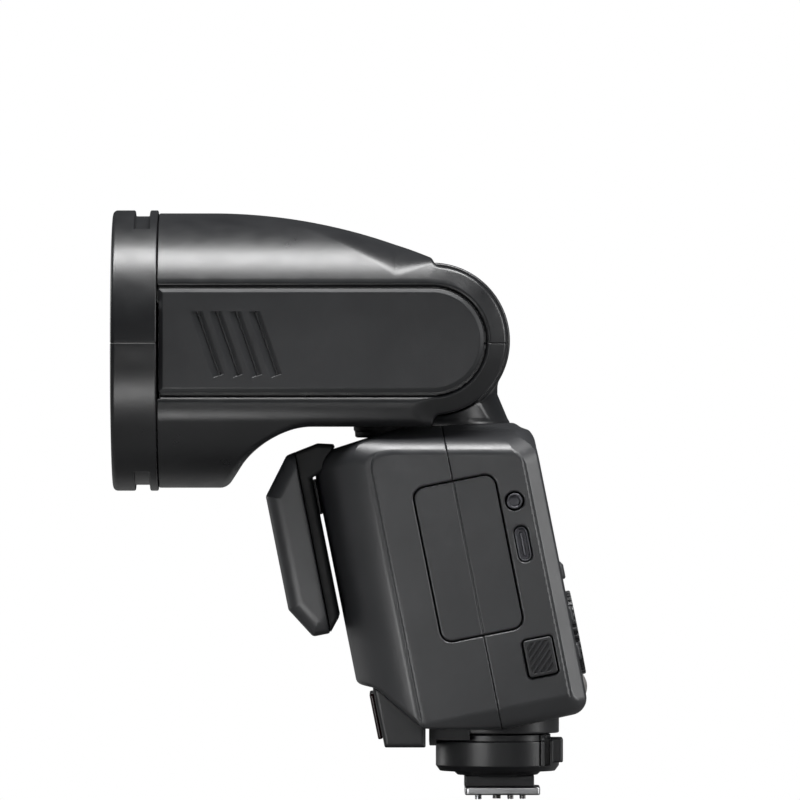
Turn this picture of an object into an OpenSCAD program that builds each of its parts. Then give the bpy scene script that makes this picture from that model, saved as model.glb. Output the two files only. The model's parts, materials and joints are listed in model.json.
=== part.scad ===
// Speedlight flash with a round lamp head that tilts and swivels on a leaning body.
// +Z is up, the lamp looks along -Y, and the origin is the centre of the foot plate's underside.

/* [Lamp head] */
// Outside diameter of the front ring
ring_d = 76; // [76:0.5:77]
// Width of the head across its flat sides
head_w = 66; // [65:0.5:67]
// Wall thickness of the head casings
head_wall = 2.2; // [2:0.1:2.4]
// Height of the lens axis
lens_z = 120.2; // [120:0.1:120.4]
// Number of louvres in each side panel
louvres = 4; // [3:1:4]
// Travel of the zoom carriage
zoom_travel = 14; // [10:1:14]

/* [Neck] */
// Distance of the tilt and swivel axes in front of the foot's centre
pivot_y = -18.2; // [-18.4:0.1:-18]
// Height of the tilt axis
pivot_z = 122.8; // [122.6:0.1:123]
// Width of the neck between the cheeks of the head
neck_w = 28; // [26:0.5:28]
// Radius of the barrel on top of the neck
barrel_r = 21.1; // [20.6:0.1:21.1]

/* [Body] */
// Width of the body
body_w = 71; // [70:0.5:74]
// Forward lean of the body in degrees
lean = 11.3; // [11:0.1:11.6]
// Wall thickness of the body casings
body_wall = 2.2; // [2:0.1:2.4]
// Radius of the dial on the back
dial_r = 11.5; // [10.5:0.5:12]
// How far a key stands out of the back
key_proud = 0.9; // [0.7:0.1:1.2]

/* [Battery] */
// Height of the battery case
battery_h = 41.8; // [41:0.2:42]
// Thickness of the battery case
battery_t = 22.1; // [22:0.1:22.4]

/* [Foot] */
// Width of the foot plate
foot_w = 18.6; // [18.4:0.1:18.6]
// Length of the foot plate
foot_l = 20.4; // [18:0.1:20.4]
// Thickness of the foot plate
foot_t = 2.2; // [2:0.1:2.2]
// Radius of the locking ring
lock_r = 16.7; // [16:0.1:16.8]

/* [Hidden] */
$fn = 64;

gap = 0.1;
run = 0.05;
plastic = [0.13, 0.13, 0.14];
plastic_lighter = [0.2, 0.2, 0.21];
circuit_green = [0.1, 0.32, 0.2];
steel = [0.72, 0.73, 0.75];
clear_plastic = [0.85, 0.88, 0.92, 0.6];

// Head sizes that follow from the driving ones
ring_r = ring_d / 2;
head_r = ring_r - 0.8;
head_front = -92;
seam_z = 122;
cheek_r = 20.1;
panel_r = 13.9;
panel_front = -90.7;
panel_t = 1.4;
slot_half = neck_w / 2 + 0.35;
belly_z = 99.2;
// The front ring's spigot reaches back into the head above and below the side panels
spigot_r = 34.85;
spigot_l = 3.6;
inner_half = head_w / 2 - head_wall;
boss_y = -47;

// Tilt axle with its bushes, and the collar and shaft that swivel in the body
axle_r = 5;
bush_r = 7.45;
bush_end = 20.4;
collar_r = 20.8;
// Stem above the collar's cone: radius, and the distance of its flat front from the pivot
neck_stem_r = 17.7;
neck_stem_front = 16.4;
collar_z = 96.6;
shaft_r = 14;
swivel_z = 89.6;
// The head's belly sweeps over the body outside this radius
sweep_r = 24.6;

// The lower corner of the leaning body's centre plane, where its parting line starts
lean_y = 0.65;
lean_z = 18.4;
// Front and back faces of the body, measured from the parting plane
front_y = -36;
back_y = 23.9;
battery_z = 46.9;

// Lens-axis heights of the ring, lens and zoom parts, measured forwards from the origin
ring_front = 104.5;
ring_back = 92.2;
led_h = 99.2;
rod_h = 51.2;
rod_l = 46.8;
motor_h = 50;
carriage_h = 76;
tube_h = carriage_h + 8;
rod_x = 25;
rod_z = 14;
screw_z = 28.5;

// Foot
lock_y = -0.4;
stem_r = 8;
pin_y = -5.6;
pin_r = 0.9;
contact_places = [[0, -0.6], [3.8, 3.1], [-3.8, 3.1], [2, 6.4], [-2, 6.4]];

// Unit vector, and the left-hand normal of a vector
function unit(v) = v / norm(v);
function left(v) = [-v[1], v[0]];
function point(c) = [c[0], c[1]];

// Crossing of the line through p along u with the line through q along v
function crossing(p, u, q, v) =
    p + u * ((q[0] - p[0]) * v[1] - (q[1] - p[1]) * v[0]) / (u[0] * v[1] - u[1] * v[0]);

// Directions into and out of corner i of an outline
function into(o, i) = unit(point(o[i]) - point(o[(i + len(o) - 1) % len(o)]));
function out_of(o, i) = unit(point(o[(i + 1) % len(o)]) - point(o[i]));

// Corner i with its edges moved inwards by d; the outline runs counter-clockwise
function moved(o, i, d) =
    let (u = into(o, i), v = out_of(o, i), p = point(o[i]))
    let (q = crossing(p + left(u) * d, u, p + left(v) * d, v))
    let (convex = u[0] * v[1] - u[1] * v[0] > 0, r = o[i][2])
    [q[0], q[1], r == 0 ? 0 : max(0, convex ? r - d : r + d)];

// Points of corner i, rounded to its own radius
function corner(o, i) =
    let (u = -into(o, i), v = out_of(o, i), p = point(o[i]), r = o[i][2])
    r == 0 ? [p] :
    let (half = acos(u * v) / 2, c = p + unit(u + v) * r / sin(half))
    let (a = p + u * r / tan(half), b = p + v * r / tan(half))
    let (start = atan2(a[1] - c[1], a[0] - c[0]), end = atan2(b[1] - c[1], b[0] - c[0]))
    let (raw = end - start, sweep = raw > 180 ? raw - 360 : raw < -180 ? raw + 360 : raw)
    let (n = max(2, ceil(abs(sweep) / 9)))
    [for (k = [0:n]) c + r * [cos(start + sweep * k / n), sin(start + sweep * k / n)]];

// Outline of corners [x, y, radius], moved inwards by d
function outline(o, d = 0) =
    let (m = [for (i = [0:len(o) - 1]) moved(o, i, d)])
    [for (i = [0:len(m) - 1]) each corner(m, i)];

function box_outline(w, h, r) =
    [[-w / 2, -h / 2, r], [w / 2, -h / 2, r], [w / 2, h / 2, r], [-w / 2, h / 2, r]];

// Side view of the head in Y and Z: underside, belly, cheek and hub, then the falling top
head_side = [
    [head_front, lens_z - head_r - 1, 0], [-73, lens_z - head_r - 1, 0.8], [-66.5, belly_z, 20],
    [-43, belly_z, 0], [-42.6, 101.4, 0], [pivot_y - 2.8, 101.4, 0],
    [pivot_y - 1.8, pivot_z - cheek_r, 0], [pivot_y + cheek_r, pivot_z - cheek_r, cheek_r],
    [pivot_y + cheek_r, pivot_z + cheek_r, cheek_r], [pivot_y + 0.3, pivot_z + cheek_r, 0],
    [pivot_y + 0.3, 145.2, 0], [-46.8, lens_z + head_r, 150], [head_front, lens_z + head_r + 1.2, 0]
];

// Leaning body: side view (from parting plane, height), cross-section, and front view of the roof
body_side = [
    [0, -0.3, 8], [back_y, 0.2, 4.5], [back_y, 79.2, 5.5], [-9, 85, 40],
    [front_y, 81.9, 6.5], [front_y, 19.3, 2], [-31, 17.3, 6], [-21, 4.5, 3]
];
body_section = [
    [-body_w / 2, front_y, 15.3], [body_w / 2, front_y, 15.3], [body_w / 2, back_y - 4.2, 0.8],
    [body_w / 2 - 4.2, back_y, 1.5], [4.2 - body_w / 2, back_y, 1.5],
    [-body_w / 2, back_y - 4.2, 0.8]
];
body_roof = [
    [-body_w / 2 - 5, 0, 0], [body_w / 2 + 5, 0, 0], [body_w / 2 + 5, 92.2, 0],
    [21, 101.2, 10], [-21, 101.2, 10], [-body_w / 2 - 5, 92.2, 0]
];

// Small front flash: side view (from parting plane, height) and cross-section
sub_side = [
    [-50.1, 42.6, 2], [-45, 34.2, 2], [-40.3, 34.2, 1.5], [-37.1, 38, 1], [-37.1, 76, 0],
    [-29.6, 79, 0], [-29.6, 83.8, 0.5], [-34, 84.9, 1], [-42.5, 83.4, 3], [-50.1, 73.7, 3]
];
sub_section = [[-27, -51, 6], [27, -51, 6], [27, -38, 0], [-27, -38, 0]];
sub_split = -40.3;
rail_z = 66;
rail_h = 9.5;

// Side outline in Y and Z, made w wide across X
module across(w) {
    rotate([90, 0, 90]) translate([0, 0, -w / 2]) linear_extrude(w) children();
}

// Leaning frame of the body
module leaning() {
    translate([0, lean_y, lean_z]) rotate([lean, 0, 0]) children();
}

// Place on the body's back, with +Z outwards
module on_back(x, z) {
    leaning() translate([x, back_y, z]) rotate([-90, 0, 0]) children();
}

// Place on the body's side at +X, with +Z outwards
module on_side(y, z) {
    leaning() translate([body_w / 2, y, z]) rotate([0, 90, 0]) children();
}

// Frame along the lens axis, with +Z forwards
module lens_axis() {
    translate([0, 0, lens_z]) rotate([90, 0, 0]) children();
}

module tube(r_out, r_in, h) {
    difference() {
        cylinder(r = r_out, h = h);
        translate([0, 0, -1]) cylinder(r = r_in, h = h + 2);
    }
}

// Cylinder across X between two places, about a point in Y and Z
module rod_x(r, x0, x1, y, z) {
    translate([x0, y, z]) rotate([0, 90, 0]) cylinder(r = r, h = x1 - x0);
}

module head_solid(d) {
    intersection() {
        across(100) polygon(outline(head_side, d));
        lens_axis() cylinder(r = head_r - d, h = 200, center = true, $fn = 96);
        translate([d - head_w / 2, -150, 0]) cube([head_w - 2 * d, 200, 200]);
    }
}

// Room for the neck between the cheeks over the whole tilt, grown by e
module neck_slot(e) {
    across(2 * (slot_half + e)) translate([pivot_y, pivot_z]) union() {
        circle(r = barrel_r + 0.3 + e);
        translate([0.3 - e, -60]) square([60, 120]);
        translate([-28 - e, -60]) square([34, 49 + e]);
    }
}

// Room under the front of the cheeks for the collar, which they pass over when tilted down
module collar_room(e) {
    intersection() {
        translate([0, pivot_y - 1.5, 90]) cylinder(r = collar_r + 2 + e, h = 13.9 + e, $fn = 96);
        translate([-40, pivot_y - 40, 80]) cube([80, 40 + e, 40]);
    }
}

// Screw places in the head, on both sides
module head_screw_places() {
    for (s = [-1, 1]) translate([s * 24, boss_y, 0]) children();
}

// Bore for the ring's spigot: between the flat sides, then full size in front of the panels
module spigot_bore() {
    intersection() {
        lens_axis() translate([0, 0, 88]) cylinder(r = spigot_r + gap, h = 10, $fn = 96);
        union() {
            translate([-inner_half, -100, 0]) cube([2 * inner_half, 20, 200]);
            translate([-50, -100, 0]) cube([100, 8.6, 200]);
        }
    }
}

module head_bosses() {
    rod_x(10, -bush_end, bush_end, pivot_y, pivot_z);
    head_screw_places() translate([0, 0, 90]) cylinder(r = 4, h = 80);
}

module panel_shape(grow) {
    translate([pivot_y, pivot_z]) circle(r = panel_r + grow);
    translate([panel_front - grow, pivot_z - panel_r - grow])
        square([pivot_y - panel_front + grow, 2 * (panel_r + grow)]);
}

module head_shell() {
    difference() {
        head_solid(0);
        difference() {
            head_solid(head_wall);
            neck_slot(1.8);
            collar_room(1.8);
            head_bosses();
        }
        neck_slot(0);
        collar_room(0);
        rod_x(bush_r + run, -bush_end - gap, bush_end + gap, pivot_y, pivot_z);
        spigot_bore();
        for (s = [-1, 1]) translate([s * head_w / 2, 0, 0]) across(2 * (panel_t + gap)) panel_shape(0.6);
        head_screw_places() translate([0, 0, 90]) cylinder(r = 2.5, h = 14);
        head_screw_places() translate([0, 0, 90]) cylinder(r = 1.3, h = 44);
    }
}

module head_shell_upper() {
    color(plastic) intersection() {
        head_shell();
        translate([-50, -100, seam_z + gap / 2]) cube([100, 110, 50]);
    }
}

module head_shell_lower() {
    color(plastic) intersection() {
        head_shell();
        translate([-50, -100, seam_z - gap / 2 - 50]) cube([100, 110, 50]);
    }
}

// Side panel at +X with slanted louvres
module side_panel() {
    louvre_pitch = 5.2;
    difference() {
        translate([head_w / 2 - panel_t, 0, 0]) rotate([90, 0, 90]) linear_extrude(panel_t) panel_shape(0);
        for (i = [0:louvres - 1])
            translate([head_w / 2, -78.75 + i * louvre_pitch, 122.15]) rotate([18.6, 0, 0])
                cube([1.6, 2.3, 17.8], center = true);
    }
}

module side_panel_left() {
    color(plastic_lighter) side_panel();
}

module side_panel_right() {
    color(plastic_lighter) mirror([1, 0, 0]) side_panel();
}

// Angles of the magnets round the ring, clear of its seam and notches
magnet_angles = [for (side = [0, 180]) for (a = [-40, -20, 20, 40]) side + a];

module magnet_places() {
    for (a = magnet_angles)
        lens_axis() rotate([0, 0, a]) translate([36, 0, ring_back - 0.5]) children();
}

module front_ring() {
    difference() {
        lens_axis() rotate_extrude($fn = 96) polygon([
            [33, ring_back - spigot_l], [spigot_r, ring_back - spigot_l], [spigot_r, ring_back],
            [ring_r, ring_back],
            [ring_r, ring_front - 1.5], [ring_r - 1.2, ring_front], [34.4, ring_front],
            [34.2, ring_front - 2.9], [33, ring_front - 2.9]
        ]);
        for (s = [0, 180]) rotate([0, s, 0]) translate([0, 0, s == 0 ? 0 : -2 * lens_z]) notch();
        magnet_places() cylinder(r = 1.3, h = 5.5, $fn = 24);
        for (s = [-1, 1]) translate([s * (inner_half + 10 - gap), -86.5, lens_z])
            cube([20, 10, 100], center = true);
    }
}

// Cut for an accessory's claw: a shallow groove over 60 degrees at the top of the ring
module notch() {
    intersection() {
        lens_axis() translate([0, 0, 94.4]) tube(ring_r + 2, ring_r - 1.6, 4);
        lens_axis() linear_extrude(120) polygon([[0, 0], [30, 52], [-30, 52]]);
    }
}

module front_ring_upper() {
    color(plastic) intersection() {
        front_ring();
        translate([-50, -120, seam_z + gap / 2]) cube([100, 50, 50]);
    }
}

module front_ring_lower() {
    color(plastic) intersection() {
        front_ring();
        translate([-50, -120, seam_z - gap / 2 - 50]) cube([100, 50, 50]);
    }
}

module front_lens() {
    color(clear_plastic) lens_axis() rotate_extrude($fn = 96) polygon([
        [0, ring_front - 2.8], [34.1, ring_front - 2.8], [34.1, ring_front - 1.1],
        [24, ring_front - 0.6], [12, ring_front - 0.3], [0, ring_front - 0.2]
    ]);
}

module accessory_magnets() {
    color(steel) magnet_places() translate([0, 0, 0.6]) cylinder(r = 1.25, h = 4.8, $fn = 24);
}

module modelling_light_board() {
    color(circuit_green) lens_axis() translate([0, 0, led_h]) tube(32.8, 27.5, 1.2);
    color("gold") for (a = [30:15:150])
        lens_axis() rotate([0, 0, a]) translate([30, 0, led_h + 1.5]) cube([2.4, 2.4, 0.7], center = true);
}

module zoom_guide_rods() {
    color(steel) for (s = [-1, 1])
        lens_axis() translate([s * rod_x, rod_z, rod_h]) cylinder(r = 1.5, h = rod_l);
}

module zoom_lead_screw() {
    color("gold") lens_axis() translate([0, screw_z, motor_h + 11.2]) cylinder(r = 1.5, h = 36.6);
}

module zoom_motor() {
    color(steel) lens_axis() translate([0, screw_z, motor_h]) cylinder(r = 3.8, h = 11);
}

module zoom_carriage() {
    color("dimgray") lens_axis() translate([0, 0, carriage_h]) linear_extrude(2.8) difference() {
        union() {
            intersection() {
                circle(r = 24);
                translate([-24, -18]) square([48, 42]);
            }
            translate([0, screw_z]) circle(r = 3.5);
            translate([-3.5, 20]) square([7, screw_z - 20]);
            for (s = [-1, 1]) {
                translate([s * rod_x, rod_z]) circle(r = 3.5);
                translate([s * 20 - 4, rod_z - 3.5]) square([8, 7]);
            }
        }
        circle(r = 12);
        translate([0, screw_z]) circle(r = 1.5 + run);
        for (s = [-1, 1]) translate([s * rod_x, rod_z]) circle(r = 1.5 + run);
    }
}

// Bowl whose radius grows with the square root of its depth
module reflector() {
    bowl_h = 18;
    steps = 8;
    function bowl_r(t) = 14 + 12 * sqrt(t);
    wall = [for (k = [0:steps]) [bowl_r(k / steps), bowl_h * k / steps]];
    inner = [for (k = [steps:-1:0]) [bowl_r(k / steps) - 0.9, bowl_h * k / steps]];
    color("gainsboro") difference() {
        lens_axis() translate([0, 0, carriage_h + 2.9]) rotate_extrude($fn = 96) polygon(concat(wall, inner));
        rod_x(2.4, -40, 40, -tube_h, lens_z);
    }
}

module flash_tube() {
    color(clear_plastic) rod_x(2.2, -23, 23, -tube_h, lens_z);
}

module head_screws() {
    color(steel) head_screw_places() {
        translate([0, 0, 102.4]) cylinder(r = 2.3, h = 1.5);
        translate([0, 0, 103.8]) cylinder(r = 1.25, h = 28);
    }
}

module tilt_bushes() {
    color("wheat") for (s = [0, 1]) mirror([s, 0, 0]) difference() {
        rod_x(bush_r, slot_half + 0.15, bush_end, pivot_y, pivot_z);
        rod_x(axle_r + run, slot_half, 21, pivot_y, pivot_z);
    }
}

module neck() {
    color(plastic) difference() {
        union() {
            rod_x(barrel_r, -neck_w / 2, neck_w / 2, pivot_y, pivot_z, $fn = 96);
            intersection() {
                union() {
                    translate([-neck_w / 2, -60, 100.9]) cube([neck_w, 80, 7.4]);
                    translate([-neck_w / 2, pivot_y - neck_stem_front, 100.9]) cube([neck_w, 60, 25]);
                }
                translate([0, pivot_y, 100.9]) union() {
                    cylinder(r1 = collar_r, r2 = neck_stem_r, h = 7.4, $fn = 96);
                    translate([0, 0, 7.4]) cylinder(r = neck_stem_r, h = 14, $fn = 96);
                }
            }
            translate([0, pivot_y, collar_z]) cylinder(r = collar_r, h = 4.3, $fn = 96);
            translate([0, pivot_y, swivel_z]) cylinder(r = shaft_r, h = 8);
        }
        rod_x(axle_r, -40, 40, pivot_y, pivot_z);
        difference() {
            rod_x(barrel_r - 2.5, 2.5 - neck_w / 2, neck_w / 2 - 2.5, pivot_y, pivot_z);
            rod_x(axle_r + 2.5, -20, 20, pivot_y, pivot_z);
        }
        translate([0, pivot_y, swivel_z - 1]) cylinder(r = shaft_r - 4.5, h = 20);
    }
}

module tilt_axle() {
    color(steel) {
        rod_x(axle_r, -bush_end - 0.2, bush_end + 0.2, pivot_y, pivot_z);
        for (s = [0, 1]) mirror([s, 0, 0]) rod_x(axle_r + 3, bush_end + 0.2, 22, pivot_y, pivot_z);
    }
}

module swivel_retaining_ring() {
    color(steel) translate([0, pivot_y, swivel_z + 1.6]) tube(17.5, shaft_r, 2.7);
}

module body_solid(d) {
    difference() {
        intersection() {
            leaning() across(2 * body_w) polygon(outline(body_side, d));
            leaning() translate([0, 0, -10]) linear_extrude(120) polygon(outline(body_section, d));
            rotate([90, 0, 0]) linear_extrude(140, center = true) polygon(outline(body_roof, d));
        }
        belly_room(d);
    }
}

// Lower step of the roof round a conical rim, where the head's belly sweeps over it
module belly_room(d) {
    translate([0, pivot_y, belly_z - 0.2 - d]) rotate_extrude($fn = 96) polygon([
        [sweep_r - d, 0], [90, 0], [90, 20], [sweep_r - 6 - d, 20], [sweep_r - 6 - d, 4.8]
    ]);
}

// Screw places low in the body: +Z runs rearwards from the front casing
module body_screw_places() {
    for (s = [-1, 1]) leaning() translate([s * 26, -15, 5.2]) rotate([-90, 0, 0]) children();
}

module battery_outline(grow) {
    polygon(outline(box_outline(battery_h + 2 * grow, battery_t + 2 * grow, 3 + grow)));
}

// Battery-shaped solid running in from the side at +X
module battery_block(grow, inner_x, outer_x) {
    leaning() translate([inner_x, 0, battery_z]) rotate([0, 90, 0])
        linear_extrude(outer_x - inner_x) battery_outline(grow);
}

release_y = 13.8;
release_z = 17.2;
jack_y = 15.2;
jack_z = 59.5;
usb_z = 47.8;

module release_shape(grow) {
    polygon(outline(box_outline(10 + 2 * grow, 7.8 + 2 * grow, 0.9 + grow)));
}

module usb_shape(grow) {
    polygon(outline(box_outline(9.4 + 2 * grow, 3.4 + 2 * grow, 1.69 + grow)));
}

// Places and sizes on the back: [x, height, width, height of key]
function_keys = [for (i = [0:3]) [-19.5 + 13 * i, 38.3, 10, 4.2]];
side_keys = [[-21, 26.5, 8, 4.6], [-21, 16.5, 8, 4.6], [21, 26.5, 8, 4.6], [21, 16.5, 8, 4.6]];
window_place = [0, 57.6, 50, 29];
switch_place = [-20.5, 7.6, 6, 4];
test_place = [20.5, 7.6];
test_r = 3;
dial_z = 21;

module key_shape(k, grow) {
    on_back(k[0], k[1]) translate([0, 0, -4]) linear_extrude(8)
        polygon(outline(box_outline(k[2] + 2 * grow, k[3] + 2 * grow, 1.2 + grow)));
}

module back_openings() {
    for (k = function_keys) key_shape(k, 0.2);
    for (k = side_keys) key_shape(k, 0.2);
    key_shape([switch_place[0], switch_place[1], switch_place[2] + 4.4, switch_place[3]], 0.2);
    key_shape(window_place, 0.15);
    on_back(test_place[0], test_place[1]) cylinder(r = test_r + 0.2, h = 10, center = true);
    on_back(0, dial_z) translate([0, 0, -1.2]) cylinder(r = dial_r + 0.3, h = 3);
    on_back(0, dial_z) cylinder(r = 7, h = 10, center = true);
}

module side_openings() {
    battery_block(0.4, 30, 40);
    on_side(jack_y, jack_z) cylinder(r = 2.45, h = 10, center = true);
    on_side(jack_y, usb_z) linear_extrude(10, center = true) usb_shape(0.15);
    on_side(release_y, release_z) linear_extrude(10, center = true) release_shape(0.35);
}

module body_shell() {
    difference() {
        body_solid(0);
        difference() {
            body_solid(body_wall);
            translate([0, pivot_y, collar_z - 2.2]) cylinder(r = collar_r + 2.1, h = 10);
            body_screw_places() translate([0, 0, -10]) cylinder(r = 3, h = 42);
        }
        translate([0, pivot_y, collar_z - 0.2]) cylinder(r = collar_r + 0.3, h = 10, $fn = 96);
        translate([0, pivot_y, 90]) cylinder(r = shaft_r + gap, h = 10);
        body_screw_places() translate([0, 0, -10]) cylinder(r = 2.3, h = 10);
        body_screw_places() cylinder(r = 1.05, h = 24);
        side_openings();
        back_openings();
    }
}

module body_shell_front() {
    color(plastic) intersection() {
        body_shell();
        leaning() translate([-50, -60 - gap / 2, -10]) cube([100, 60, 110]);
    }
}

module body_shell_rear() {
    color(plastic) intersection() {
        body_shell();
        leaning() translate([-50, gap / 2, -10]) cube([100, 60, 110]);
    }
}

module battery_bay() {
    end = body_w / 2 - body_wall - gap;
    color("dimgray") difference() {
        battery_block(1.3, -end, end);
        battery_block(0.3, 1.2 - end, end + 5);
    }
}

module battery_case() {
    color(plastic_lighter) difference() {
        battery_block(0, -31.6, body_w / 2 - 0.1);
        battery_block(-1.3, -30.7, body_w / 2 - 1);
    }
}

module battery_cells() {
    cell_r = 9.2;
    color("steelblue") for (s = [-1, 1]) leaning() translate([-30.5, 0, battery_z + s * 9.7])
        rotate([0, 90, 0]) cylinder(r = cell_r, h = 64.8);
}

module battery_release() {
    color(plastic) difference() {
        on_side(release_y, release_z) translate([0, 0, -4]) linear_extrude(4.3) release_shape(0);
        on_side(release_y, release_z) intersection() {
            linear_extrude(2) square([8, 6], center = true);
            for (i = [-5:5]) rotate([0, 0, 45]) translate([i * 1.3, 0, 0.2])
                cube([0.55, 20, 0.8], center = true);
        }
    }
}

module sync_jack() {
    color(steel) on_side(jack_y, jack_z) difference() {
        translate([0, 0, -12]) cylinder(r = 2.35, h = 12.2);
        translate([0, 0, -11]) cylinder(r = 1.4, h = 20);
    }
}

module usb_socket() {
    color(steel) on_side(jack_y, usb_z) {
        difference() {
            translate([0, 0, -9]) linear_extrude(8.8) usb_shape(0);
            translate([0, 0, -8]) linear_extrude(10) usb_shape(-0.35);
        }
        translate([0, 0, -4.5]) cube([6.4, 0.7, 7], center = true);
    }
}

module display_window() {
    color([0.05, 0.06, 0.08]) on_back(window_place[0], window_place[1])
        translate([0, 0, -1.6]) linear_extrude(1.5) polygon(outline(box_outline(50, 29, 1.2)));
}

module display_panel() {
    color([0.2, 0.25, 0.3]) on_back(window_place[0], window_place[1])
        translate([0, 0, -4]) linear_extrude(1.6) square([54, 31], center = true);
}

// Prismatic key at one of the places on the back
module key(k) {
    color(plastic) on_back(k[0], k[1]) translate([0, 0, -2.8]) linear_extrude(2.8 + key_proud)
        polygon(outline(box_outline(k[2], k[3], 1.2)));
}

module function_key_1() { key(function_keys[0]); }
module function_key_2() { key(function_keys[1]); }
module function_key_3() { key(function_keys[2]); }
module function_key_4() { key(function_keys[3]); }
module upper_left_key() { key(side_keys[0]); }
module lower_left_key() { key(side_keys[1]); }
module upper_right_key() { key(side_keys[2]); }
module lower_right_key() { key(side_keys[3]); }
module power_switch() { key([switch_place[0] - 2.2, switch_place[1], switch_place[2], switch_place[3]]); }

module control_dial() {
    notches = 36;
    color(plastic) on_back(0, dial_z) difference() {
        union() {
            translate([0, 0, -1.1]) cylinder(r = dial_r, h = 2.6, $fn = 96);
            translate([0, 0, -2.8]) cylinder(r = 6.9, h = 2);
        }
        translate([0, 0, -5]) cylinder(r = 5.2, h = 10);
        for (i = [0:notches - 1]) rotate([0, 0, i * 360 / notches])
            translate([dial_r, 0, 0.6]) cylinder(r = 0.45, h = 4, $fn = 16);
    }
}

module set_key() {
    color(plastic_lighter) on_back(0, dial_z) translate([0, 0, -2.8]) cylinder(r = 5.1, h = 4.1);
}

module test_key() {
    color(clear_plastic) on_back(test_place[0], test_place[1])
        translate([0, 0, -2.8]) cylinder(r = test_r, h = 2.8 + key_proud);
}

module main_board() {
    color(circuit_green) leaning() translate([-29, back_y - 5.6, 12]) cube([58, 1.4, 59]);
}

module flash_capacitor() {
    color("midnightblue") leaning() translate([-23, -23.6, 52]) rotate([0, 90, 0]) cylinder(r = 9.8, h = 46);
}

module body_screws() {
    color(steel) body_screw_places() {
        translate([0, 0, -1.5]) cylinder(r = 2.2, h = 1.5);
        cylinder(r = 1, h = 23);
    }
}

chin_side = [
    [-30.9, 13.3, 1], [-19.9, 13.3, 0.3], [-19.9, 22, 0], [-27, 29.5, 0], [-34.2, 29.5, 0]
];

module chin_cover() {
    color(plastic) difference() {
        across(48) polygon(outline(chin_side));
        across(44.8) polygon([[-29.2, 15], [-21.5, 15], [-21.5, 32], [-32.7, 32]]);
        body_solid(-gap);
    }
}

module sensor_window() {
    color([0.25, 0.02, 0.03]) across(36) polygon([
        [-35.1, 27.5], [-32.65, 15.3], [-31.4, 15.5], [-33.9, 27.7]
    ]);
}

module base_boss() {
    color(plastic) difference() {
        union() {
            translate([0, lock_y, 16.7]) cylinder(r = lock_r, h = 8);
            translate([-15, -18.9, 16.7]) cube([30, 10, 3]);
            translate([-15, -18.9, 13.6]) cube([30, 1.4, 4]);
        }
        body_solid(-gap);
        translate([0, lock_y, 10]) cylinder(r = stem_r + gap, h = 20);
    }
}

module lock_ring() {
    color(plastic) difference() {
        union() {
            translate([0, lock_y, 0]) rotate_extrude($fn = 96) polygon([
                [5, 5.3], [10.8, 5.3], [12, 6.4], [15.6, 6.4], [lock_r, 7.9], [lock_r, 14.6],
                [12, 14.6], [12, 16.5], [5, 16.5]
            ]);
            translate([-7.5, 10, 8.8]) cube([15, 7.3, 6.5]);
        }
        translate([0, lock_y, 0]) cylinder(r = stem_r + run, h = 30);
        translate([-9, 12.4, 8]) cube([18, 1.4, 8]);
    }
}

module locking_pin() {
    color(steel) translate([0, pin_y, 0]) {
        translate([0, 0, -1.4]) cylinder(r = pin_r, h = 13);
        translate([0, 0, 7.6]) cylinder(r = 1.8, h = 1);
    }
}

// Coil spring above the pin's collar
module pin_spring() {
    turns = 4;
    color(steel) translate([0, pin_y, 8.75])
        linear_extrude(height = 5.6, twist = -360 * turns, slices = turns * 12, $fn = 12)
            translate([1.4, 0]) circle(r = 0.4, $fn = 8);
}

module foot_block() {
    color(plastic) difference() {
        union() {
            translate([-6.1, -9.4, foot_t + gap / 2]) cube([12.2, 18.9, 5.15 - foot_t]);
            translate([0, lock_y, 5]) cylinder(r = stem_r, h = 12.6);
        }
        translate([0, pin_y, -1]) cylinder(r = pin_r + run, h = 20);
        translate([0, pin_y, 7.4]) cylinder(r = 2.05, h = 7);
        for (p = contact_places) translate([p[0], p[1], -1]) cylinder(r = contact_r(p) + gap, h = 9);
    }
}

function contact_r(p) = p[0] == 0 ? 1.1 : 0.8;

module foot_plate() {
    color("silver") difference() {
        translate([0, foot_l / 2 - 9.3, 0]) linear_extrude(foot_t)
            polygon(outline(box_outline(foot_w, foot_l, 1)));
        translate([0, pin_y, -1]) cylinder(r = pin_r + run, h = 20);
        for (p = contact_places) translate([p[0], p[1], -1]) cylinder(r = contact_r(p) + gap, h = 9);
    }
}

module contact_pins() {
    color("gold") for (p = contact_places) translate([p[0], p[1], -1.2]) cylinder(r = contact_r(p), h = 9);
}

// Small front flash in the leaning frame, moved inwards by d
module sub_solid(d) {
    leaning() intersection() {
        across(60) polygon(outline(sub_side, d));
        linear_extrude(100) polygon(outline(sub_section, d));
    }
}

module sub_flash_shell() {
    color(plastic) difference() {
        sub_solid(0);
        intersection() {
            sub_solid(1.5);
            leaning() translate([-25.5, -60, 0]) cube([51, 60, 100]);
        }
        leaning() translate([-22, -52, 45.5]) cube([44, 8, 26.5]);
        leaning() translate([-30, sub_split, 0]) cube([60, 20, 100]);
    }
}

module sub_flash_cover() {
    color(plastic) difference() {
        leaning() intersection() {
            across(49) polygon(outline(sub_side));
            translate([-40, sub_split + gap, 0]) cube([80, 20, 100]);
        }
        body_solid(-0.35);
        leaning() translate([-8.3, -41, 30]) cube([16.6, 6, 48.4]);
        leaning() translate([-10.3, -41, 30]) cube([20.6, 2.6, 48.4]);
    }
}

module sub_flash_window() {
    color(clear_plastic) leaning() translate([-21.9, -50, 45.6]) cube([43.8, 1.4, 26.3]);
}

module sub_flash_reflector() {
    trough = [[-48.4, 46], [-41.6, 54], [-41.6, 63.5], [-48.4, 71.5]];
    inside = [[-49, 47], [-42.5, 54.6], [-42.5, 62.9], [-49, 70.5]];
    color("gainsboro") leaning() difference() {
        across(42) polygon(trough);
        across(40.4) polygon(inside);
    }
}

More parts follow.
